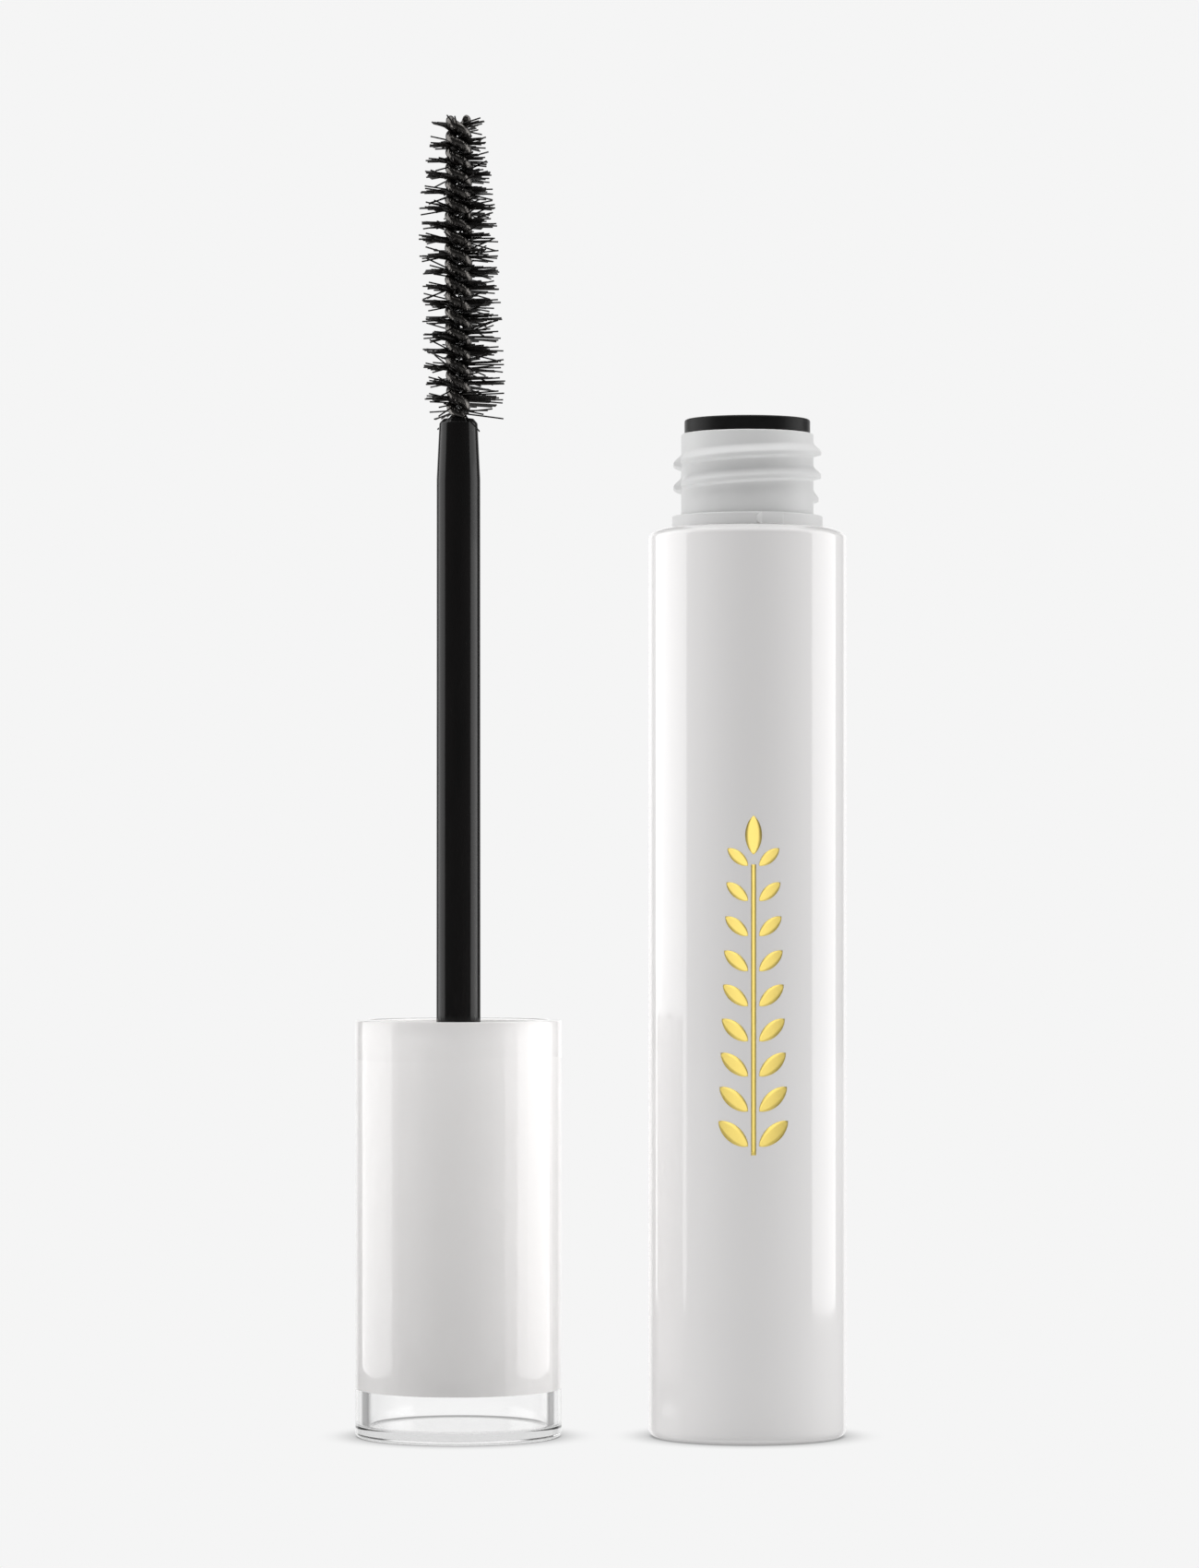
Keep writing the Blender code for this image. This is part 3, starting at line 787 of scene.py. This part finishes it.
class MASCARA_OT_bottle(bpy.types.Operator):
    """Make the bottle with its collar, stop and threaded neck"""

    bl_idname = "mascara.bottle"
    bl_label = "Bottle"

    def execute(self, context):
        neck = context.scene.mascara_neck
        collar_top = SLEEVE.top + neck.collar_height
        body_top = SLEEVE.top - SHOULDER_DROP
        points = divided(outline([
            (0.0, BOTTLE_FLOOR, 0),
            (BOTTLE_BORE, BOTTLE_FLOOR, 0.6 * MM),
            (BOTTLE_BORE, body_top - SHOULDER_SLOPE, 0.8 * MM),
            (neck.bore, body_top - SHOULDER_WALL, 0.5 * MM),
            (neck.bore, BOTTLE.top, 0.1 * MM),
            (neck.radius, BOTTLE.top, 0.15 * MM),
            (neck.radius, collar_top, 0.12 * MM),
            (neck.collar - COLLAR_DRAFT, collar_top, 0.12 * MM),
            (neck.collar, body_top, 0.05 * MM),
            (BOTTLE.r, body_top, 0.3 * MM),
            (BOTTLE.r, 0.0, 0.1 * MM),
            (0.0, 0.0, 0),
        ]), collar_top, BOTTLE.top, THREAD_STEP)
        bottle = lathe("bottle", points, segments=BOTTLE_SEGMENTS)
        material = natural_moulding()
        grown(bottle, thread_tree, material, {
            "Axis": BOTTLE.x, "Root": neck.radius, "Depth": neck.crest - neck.radius,
            "Pitch": neck.pitch, "Start": collar_top + neck.start, "From": radians(-18),
            "Turns": neck.turns, "Land": 0.24 * MM, "Upper": 0.92 * MM, "Lower": 0.22 * MM,
            "Run out": 0.1, "Parting": radians(-170), "Seam": 0.03 * MM,
        })
        dress(bottle, "tube", "bottle", [material], "inner_bottle")
        self.stop(neck, collar_top, material)
        return {"FINISHED"}

    def stop(self, neck, collar_top, material):
        """The block on the collar that the cap turns up against; one end is a ramp."""
        bm = bmesh.new()
        sections = []
        root = neck.collar - STOP_ROOT
        low, high = SLEEVE.top - STOP_SHY, collar_top - STOP_SHY
        for degrees, rise, tuck in STOP_SECTIONS:
            a = radians(degrees)
            crest, foot, head = neck.collar + rise, low + tuck, high - tuck
            sections.append([
                bm.verts.new((r * cos(a), r * sin(a), z))
                for r, z in ((root, foot), (crest, foot), (crest, head), (root, head))])
        for near, far in zip(sections, sections[1:]):
            for i in range(4):
                bm.faces.new((near[i], near[i - 1], far[i - 1], far[i]))
        bm.faces.new(sections[0])
        bm.faces.new(sections[-1])
        bmesh.ops.recalc_face_normals(bm, faces=bm.faces)
        bmesh.ops.bevel(
            bm, geom=bm.edges[:], offset=STOP_EDGE, segments=2, affect="EDGES", profile=0.5)
        dress(finished("collar_stop", bm), "tube", "bottle", [material])


WIPER_FIT = 0.1 * MM         # between the skirt and the neck's bore
WIPER_FLANGE = 1.25 * MM
WIPER_MOUTH = 3.8 * MM
WIPER_THROAT = 4.0 * MM      # height at which the funnel starts to narrow, above the lip
WIPER_ORIFICE = 2.15 * MM
WIPER_LIP = 0.45 * MM
WIPER_LAND = 0.5 * MM        # height of the lip's inside, and of the skirt past the funnel's mouth


class MASCARA_OT_wiper(bpy.types.Operator):
    """Make the wiper in the neck"""

    bl_idname = "mascara.wiper"
    bl_label = "Wiper"

    def execute(self, context):
        skirt = context.scene.mascara_neck.bore - WIPER_FIT
        flange = WIPER.top - WIPER_FLANGE
        funnel = WIPER.low + WIPER_THROAT
        ring = lathe("wiper_ring", outline([
            (WIPER_MOUTH, WIPER.top, 0.2 * MM),
            (WIPER.r, WIPER.top, 0.18 * MM),
            (WIPER.r, flange, 0.08 * MM),
            (skirt, flange, 0.05 * MM),
            (skirt, funnel - WIPER_LAND, 0.5 * MM),
            (WIPER_ORIFICE + WIPER_LIP, WIPER.low, 0.12 * MM),
            (WIPER_ORIFICE, WIPER.low, 0.08 * MM),
            (WIPER_ORIFICE, WIPER.low + WIPER_LAND, 0.15 * MM),
            (WIPER_MOUTH, funnel, 0.6 * MM),
        ]), closed=True)
        dress(ring, "tube", "wiper", [wiper_black()], "wiper")
        return {"FINISHED"}


FOIL_LIFT = 0.005 * MM       # of the foil's underside off the sleeve


class MASCARA_OT_foil(bpy.types.Operator):
    """Make the foil ornament on the sleeve"""

    bl_idname = "mascara.foil"
    bl_label = "Foil ornament"

    def execute(self, context):
        foil = context.scene.mascara_foil
        material = gold_foil()
        sprig = upright("foil_sprig", [0.0], 0.0)
        grown(sprig, sprig_tree, material, {
            "Height": foil.height, "Pairs": 9, "Leaf": 3.5 * MM, "Leaf width": 1.5 * MM,
            "Rise": radians(40), "Stalk": 0.45 * MM, "Radius": SLEEVE.r + FOIL_LIFT,
            "Foot": foil.foot, "Facing": radians(2),
        }, foil.thickness)
        dress(sprig, "tube", "sleeve", [material])
        return {"FINISHED"}


LINING_BORE = 6.95 * MM
LINING_FLOOR = 1.2 * MM
POCKET, POCKET_DEPTH = 7.5 * MM, 1.4 * MM    # wider mouth that clears the collar's stop
SOCKET_HOLE, SOCKET_WALL = 2.1 * MM, 3.6 * MM
SOCKET_TOP = 26.9 * MM
CAP_THREAD_DEPTH, CAP_THREAD_START = 0.72 * MM, 31.7 * MM
CAP_THREAD_STEP = 0.06 * MM
LINING_SEGMENTS = 192


class MASCARA_OT_cap(bpy.types.Operator):
    """Make the clear shell of the cap and its white lining"""

    bl_idname = "mascara.cap"
    bl_label = "Cap"

    def execute(self, context):
        neck, cap = context.scene.mascara_neck, context.scene.mascara_cap
        white = lining_white()
        self.shell(cap, white)
        points = divided(outline([
            (0.0, LINING.low + LINING_FLOOR, 0),
            (SOCKET_HOLE, LINING.low + LINING_FLOOR, 0.1 * MM),
            (SOCKET_HOLE, SOCKET_TOP, 0.1 * MM),
            (SOCKET_WALL, SOCKET_TOP, 0.2 * MM),
            (SOCKET_WALL, LINING.low + LINING_FLOOR, 0.3 * MM),
            (LINING_BORE, LINING.low + LINING_FLOOR, 0.3 * MM),
            (LINING_BORE, LINING.top - POCKET_DEPTH, 0.1 * MM),
            (POCKET, LINING.top - POCKET_DEPTH, 0.1 * MM),
            (POCKET, LINING.top, 0.1 * MM),
            (LINING.r, LINING.top, 0.1 * MM),
            (LINING.r, LINING.low, 0.3 * MM),
            (0.0, LINING.low, 0),
        ]), SOCKET_TOP + MM, LINING.top - POCKET_DEPTH, CAP_THREAD_STEP)
        lining = lathe("cap_lining", points, LINING.x, segments=LINING_SEGMENTS)
        grown(lining, thread_tree, white, {
            "Axis": LINING.x, "Root": LINING_BORE, "Depth": -CAP_THREAD_DEPTH, "Pitch": neck.pitch,
            "Start": CAP_THREAD_START, "From": 0.0, "Turns": 1.5, "Land": 0.35 * MM,
            "Upper": 0.2 * MM, "Lower": 0.2 * MM, "Run out": 0.08, "Parting": pi, "Seam": 0.0,
        })
        dress(lining, "wand", "cap_lining", [white], "inner_cap")
        return {"FINISHED"}

    def shell(self, cap, white):
        """The clear shell; where the lining backs its bore, it shows the lining's white."""
        bore = SHELL.r - cap.wall
        points = outline([
            (0.0, cap.end_wall, 0),
            (bore, cap.end_wall, 0.25 * MM),
            (bore, SHELL.top, 0.12 * MM),
            (SHELL.r, SHELL.top, 0.2 * MM),
            (SHELL.r, 0.0, 0.45 * MM),
            (0.0, 0.0, 0),
        ])
        meeting = next(i for i, point in enumerate(points) if point.y > LINING.low)
        points.insert(meeting, Vector((bore, LINING.low)))

        def backed(*ends):
            return all(abs(end.x - bore) < SAME and end.y >= LINING.low - SAME for end in ends)

        shell = lathe("cap_shell", points, SHELL.x, picks=backed)
        dress(shell, "cap", "cap_shell", [clear_acrylic(), white], "outer_cap")


FLANGE_TOP, FLANGE_HEIGHT = 28.4 * MM, 1.4 * MM
WIRE_HOLE, WIRE_FIT = 9.0 * MM, 0.1 * MM     # depth of the hole for the wire, and its play
STEM_NOSE = (0.35 * MM, 0.4 * MM)            # across and up the bevel at the stem's tip
STEM_DRAFT = 0.03 * MM
STEM_SEGMENTS = 96


class MASCARA_OT_stem(bpy.types.Operator):
    """Make the stem"""

    bl_idname = "mascara.stem"
    bl_label = "Stem"

    def execute(self, context):
        cap, brush = context.scene.mascara_cap, context.scene.mascara_brush
        hole = brush.wire + brush.spread + WIRE_FIT
        flange = FLANGE_TOP - FLANGE_HEIGHT
        rod = lathe("stem_rod", outline([
            (0.0, STEM.top - WIRE_HOLE, 0),
            (hole, STEM.top - WIRE_HOLE, 0.1 * MM),
            (hole, STEM.top, 0.06 * MM),
            (cap.stem_tip - STEM_NOSE[0], STEM.top, 0.08 * MM),
            (cap.stem_tip, STEM.top - STEM_NOSE[1], 0.25 * MM),
            (cap.stem_radius - STEM_DRAFT, STEM.top - cap.stem_taper, 4.0 * MM),
            (cap.stem_radius, FLANGE_TOP, 0.5 * MM),
            (STEM.r, FLANGE_TOP, 0.2 * MM),
            (STEM.r, flange, 0.2 * MM),
            (cap.stem_radius, flange, 0.1 * MM),
            (cap.stem_radius, STEM.low, 0.2 * MM),
            (0.0, STEM.low, 0),
        ]), STEM.x, segments=STEM_SEGMENTS)
        dress(rod, "wand", "stem", [stem_black()], "stem")
        return {"FINISHED"}


class MASCARA_OT_wire(bpy.types.Operator):
    """Make the twisted wire of the brush"""

    bl_idname = "mascara.wire"
    bl_label = "Brush wire"

    def execute(self, context):
        brush = context.scene.mascara_brush
        material = drawn_wire()
        fold = WIRE.low + brush.wire + brush.spread
        pair = upright("twisted_wire", [fold, WIRE.top], STEM.x)
        grown(pair, twist_tree, material, {
            "Wire": brush.wire, "Spread": brush.spread, "Swell": brush.swell, "Pitch": brush.pitch,
            "Points": 420, "Sides": 14, "Fold": fold, "Mouth": STEM.top, "Tip": WIRE.top,
        })
        dress(pair, "wand", "wire", [material], "brush_wire")
        return {"FINISHED"}


class MASCARA_OT_bristles(bpy.types.Operator):
    """Make the filaments of the brush"""

    bl_idname = "mascara.bristles"
    bl_label = "Bristles"

    def execute(self, context):
        brush = context.scene.mascara_brush
        material = nylon_black()
        heights, left, right = [], [], []
        for row in ROWS:
            low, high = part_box(row)
            heights.append((low.z + high.z) / 2)
            left.append(STEM.x - low.x)
            right.append(high.x - STEM.x)
        # the end rows reach a quarter turn of wire past their middles
        half = brush.pitch / 4
        heights = [heights[0] - half, *heights, heights[-1] + half]
        left = [left[0], *left, left[-1]]
        right = [right[0], *right, right[-1]]
        hairs = upright("bristles", heights, STEM.x, {"left": left, "right": right})
        grown(hairs, bristle_tree, material, {
            "Filaments": brush.filaments, "Thickness": brush.filament, "Pitch": brush.pitch,
            "Fold": WIRE.low + brush.wire + brush.spread, "Axis": STEM.x, "Fan": 0.35,
            "Lean": radians(5), "Stray": 0.45, "Slip": brush.spread * 0.6, "Jitter": 0.1 * MM,
            "Uneven": 0.32, "Curl": 6.0, "Gather": 0.065, "Low": heights[0], "High": heights[-1],
            "Seed": brush.seed,
        })
        dress(hairs, "wand", "bristle", [material], *ROWS)
        return {"FINISHED"}


# ---- stage

# Softboxes: the pieces that they light and nothing else, the axis that they stand round, their
# distance in mm, and for each box its share of the radiance, the directions in degrees from the
# front between which it stands, and how many degrees it is raised
SOFTBOXES = (
    (("sleeve",), SLEEVE.x, 150, ((0.84, -133, -75, 0), (0.84, 77.5, 121, 0), (0.06, -60, 60, 0))),
    (("bottle", "collar_stop", "wiper_ring"), SLEEVE.x, 150, (
        (0.46, -133, -75, 0), (0.5, 77.5, 121, 0), (0.24, -50, 50, 70))),
    (("foil_sprig",), SLEEVE.x, 150, ((0.52, -35, 35, 0),)),
    (("cap_shell", "cap_lining"), SHELL.x, 70, (
        (0.77, -128, -73.5, 0), (0.77, 66.6, 118, 0), (0.19, -60, 60, 0))),
    (("stem_rod", "twisted_wire", "bristles"), STEM.x, 70, (
        (1.0, -128, -73.5, 0), (1.0, 66.6, 118, 0))),
)
SOFTBOX_HEIGHT = 260 * MM
CLEAR = ("cap_shell",)       # lets the softboxes' light through
CONTACT_REACH = 4 * MM       # how near a piece has to be to darken the floor with a painted contact shadow
# painted contact shadow: the grey that the floor's glow darkens to where a piece stands close over it
PAINTED_CONTACT_SHADOW = (0.32, 0.32, 0.32)
CONTACT_RANGE = (0.1, 1.0)   # of open sky, over which the painted contact shadow fades
MIRROR = {"Color": (0.65, 0.65, 0.65, 1.0), "Roughness": 0.05}
MIRROR_GLOW = 0.36
BACK_SECTOR = (radians(145), radians(155))     # round from the front, where the back begins
BACK_TOP = (0.2, 0.45)       # height in the sky, as a sine, over which the back ends
OVERHEAD = (0.7, 0.85)       # and over which the top begins
RISE_OF_FRAME = 0.067        # the upright camera's shift, which frames the brush's tip
NEAR, FAR = 0.01, 30.0


class MASCARA_OT_stage(bpy.types.Operator):
    """Set the floor, the backdrop, the lights and the camera"""

    bl_idname = "mascara.stage"
    bl_label = "Stage"

    def execute(self, context):
        stage = context.scene.mascara_stage
        self.floor(stage)
        self.world(context, stage)
        for names, axis_x, away, boxes in SOFTBOXES:
            for share, *place in boxes:
                self.softbox(names, axis_x, away * MM, stage.side * share, *place)
        self.camera(context, stage)
        context.scene.view_settings.view_transform = "Standard"
        return {"FINISHED"}

    def floor(self, stage):
        """A pale table that glows evenly; its glow is darker only where a piece stands close over it, a
        painted contact shadow.
        """
        bm = bmesh.new()
        bmesh.ops.create_circle(bm, cap_ends=True, segments=96, radius=stage.floor)
        floor = finished("floor", bm)
        pale = tuple(stage.backdrop)
        finish = Finish(
            "floor_pale", Base_Color=(0.0, 0.0, 0.0), Roughness=1.0, Specular_IOR_Level=0.0,
            Emission_Strength=1.0)
        # painted contact shadow: ambient occlusion darkens the floor's glow near a piece
        sky = finish.make("ShaderNodeAmbientOcclusion", {"samples": 16}, {"Distance": CONTACT_REACH}, 1)
        finish.feed("Emission Color", finish.mix(sky.smooth(*CONTACT_RANGE), PAINTED_CONTACT_SHADOW, pale))
        # glass and gloss see it partly as a mirror of the studio
        path = finish.make("ShaderNodeLightPath").socket.node.outputs
        plain = Wire(finish, path["Is Camera Ray"]) + Wire(finish, path["Is Diffuse Ray"])
        gloss = finish.make("ShaderNodeBsdfAnisotropic", None, MIRROR)
        glow = finish.make("ShaderNodeEmission", None, {"Color": (*pale, 1.0), "Strength": MIRROR_GLOW})
        mirror = finish.make("ShaderNodeAddShader", None, {0: gloss, 1: glow})
        shader = Wire(finish, finish.shader.outputs[0])
        both = finish.make("ShaderNodeMixShader", None, {0: plain, 1: mirror, 2: shader})
        finish.tree.links.new(both.socket, finish.tree.nodes["Material Output"].inputs["Surface"])
        floor.data.materials.append(finish.material)

    def world(self, context, stage):
        """Bright behind and overhead, and dark on the side that the camera stands on."""
        world = bpy.data.worlds.new("studio")
        world.use_nodes = True
        context.scene.world = world
        graph = Graph(world.node_tree)
        x, y, z = graph.split(graph.make("ShaderNodeTexCoord"))
        around = x.math("ABSOLUTE").math("ARCTAN2", -y)
        back = around.smooth(*BACK_SECTOR) * (1.0 - z.smooth(*BACK_TOP))
        top = z.smooth(*OVERHEAD)
        light = back * (stage.back - stage.front) + top * stage.top + stage.front
        seen = graph.make("ShaderNodeLightPath")
        colour = graph.mix(seen, graph.vector(light, light, light), tuple(stage.backdrop))
        graph.tree.links.new(colour.socket, graph.tree.nodes["Background"].inputs["Color"])

    def softbox(self, names, axis_x, distance, radiance, start, end, rise):
        """A softbox between two directions round one group of pieces; it lights only those."""
        middle, half = radians((start + end) / 2), radians(abs(end - start) / 2)
        rise = radians(rise)
        data = bpy.data.lights.new(names[0], "AREA")
        data.shape = "RECTANGLE"
        data.size = 2 * distance * tan(half)
        data.size_y = SOFTBOX_HEIGHT
        data.energy = radiance * pi * data.size * data.size_y
        light = placed(names[0], data)
        away = distance * cos(rise)
        light.location = (
            axis_x + away * sin(middle), -away * cos(middle),
            SOFTBOX_HEIGHT / 2 + distance * sin(rise))
        light.rotation_euler = (pi / 2 - rise, 0.0, middle)
        light.visible_camera = False
        light.light_linking.receiver_collection = self.group("lit", names)
        light.light_linking.blocker_collection = self.group(
            "in_the_way", [name for name in names if name not in CLEAR])

    def group(self, name, pieces):
        group = bpy.data.collections.new(name)
        for piece in pieces:
            group.objects.link(DRESSED[piece])
        return group

    def camera(self, context, stage):
        data = bpy.data.cameras.new("camera")
        data.lens = stage.lens
        data.shift_y = RISE_OF_FRAME
        data.clip_start, data.clip_end = NEAR, FAR
        camera = placed("camera", data)
        camera.location = (stage.aside, -stage.distance, stage.eye)
        camera.rotation_euler = (pi / 2, 0.0, 0.0)
        context.scene.camera = camera


OPERATORS = (
    MASCARA_OT_sleeve, MASCARA_OT_bottle, MASCARA_OT_wiper, MASCARA_OT_foil, MASCARA_OT_cap,
    MASCARA_OT_stem, MASCARA_OT_wire, MASCARA_OT_bristles, MASCARA_OT_stage,
)


class MASCARA_PT_panel(bpy.types.Panel):
    """Lists the pieces and their sizes"""

    bl_idname = "MASCARA_PT_panel"
    bl_label = "Mascara tube"
    bl_space_type = "VIEW_3D"
    bl_region_type = "UI"
    bl_category = "Mascara"

    def draw(self, context):
        for name, group in SETTINGS.items():
            box = self.layout.box()
            box.label(text=name.removeprefix("mascara_").title())
            for setting in group.__annotations__:
                box.prop(getattr(context.scene, name), setting)
        for operator in OPERATORS:
            self.layout.operator(operator.bl_idname)


def register():
    for name, group in SETTINGS.items():
        bpy.utils.register_class(group)
        setattr(bpy.types.Scene, name, bpy.props.PointerProperty(type=group))
    for operator in OPERATORS:
        bpy.utils.register_class(operator)
    bpy.utils.register_class(MASCARA_PT_panel)


def unregister():
    bpy.utils.unregister_class(MASCARA_PT_panel)
    for operator in reversed(OPERATORS):
        bpy.utils.unregister_class(operator)
    for name, group in reversed(SETTINGS.items()):
        delattr(bpy.types.Scene, name)
        bpy.utils.unregister_class(group)


def main():
    register()
    bpy.ops.mascara.sleeve()
    bpy.ops.mascara.bottle()
    bpy.ops.mascara.wiper()
    bpy.ops.mascara.foil()
    bpy.ops.mascara.cap()
    bpy.ops.mascara.stem()
    bpy.ops.mascara.wire()
    bpy.ops.mascara.bristles()
    bpy.ops.mascara.stage()


if __name__ == "__main__":
    main()
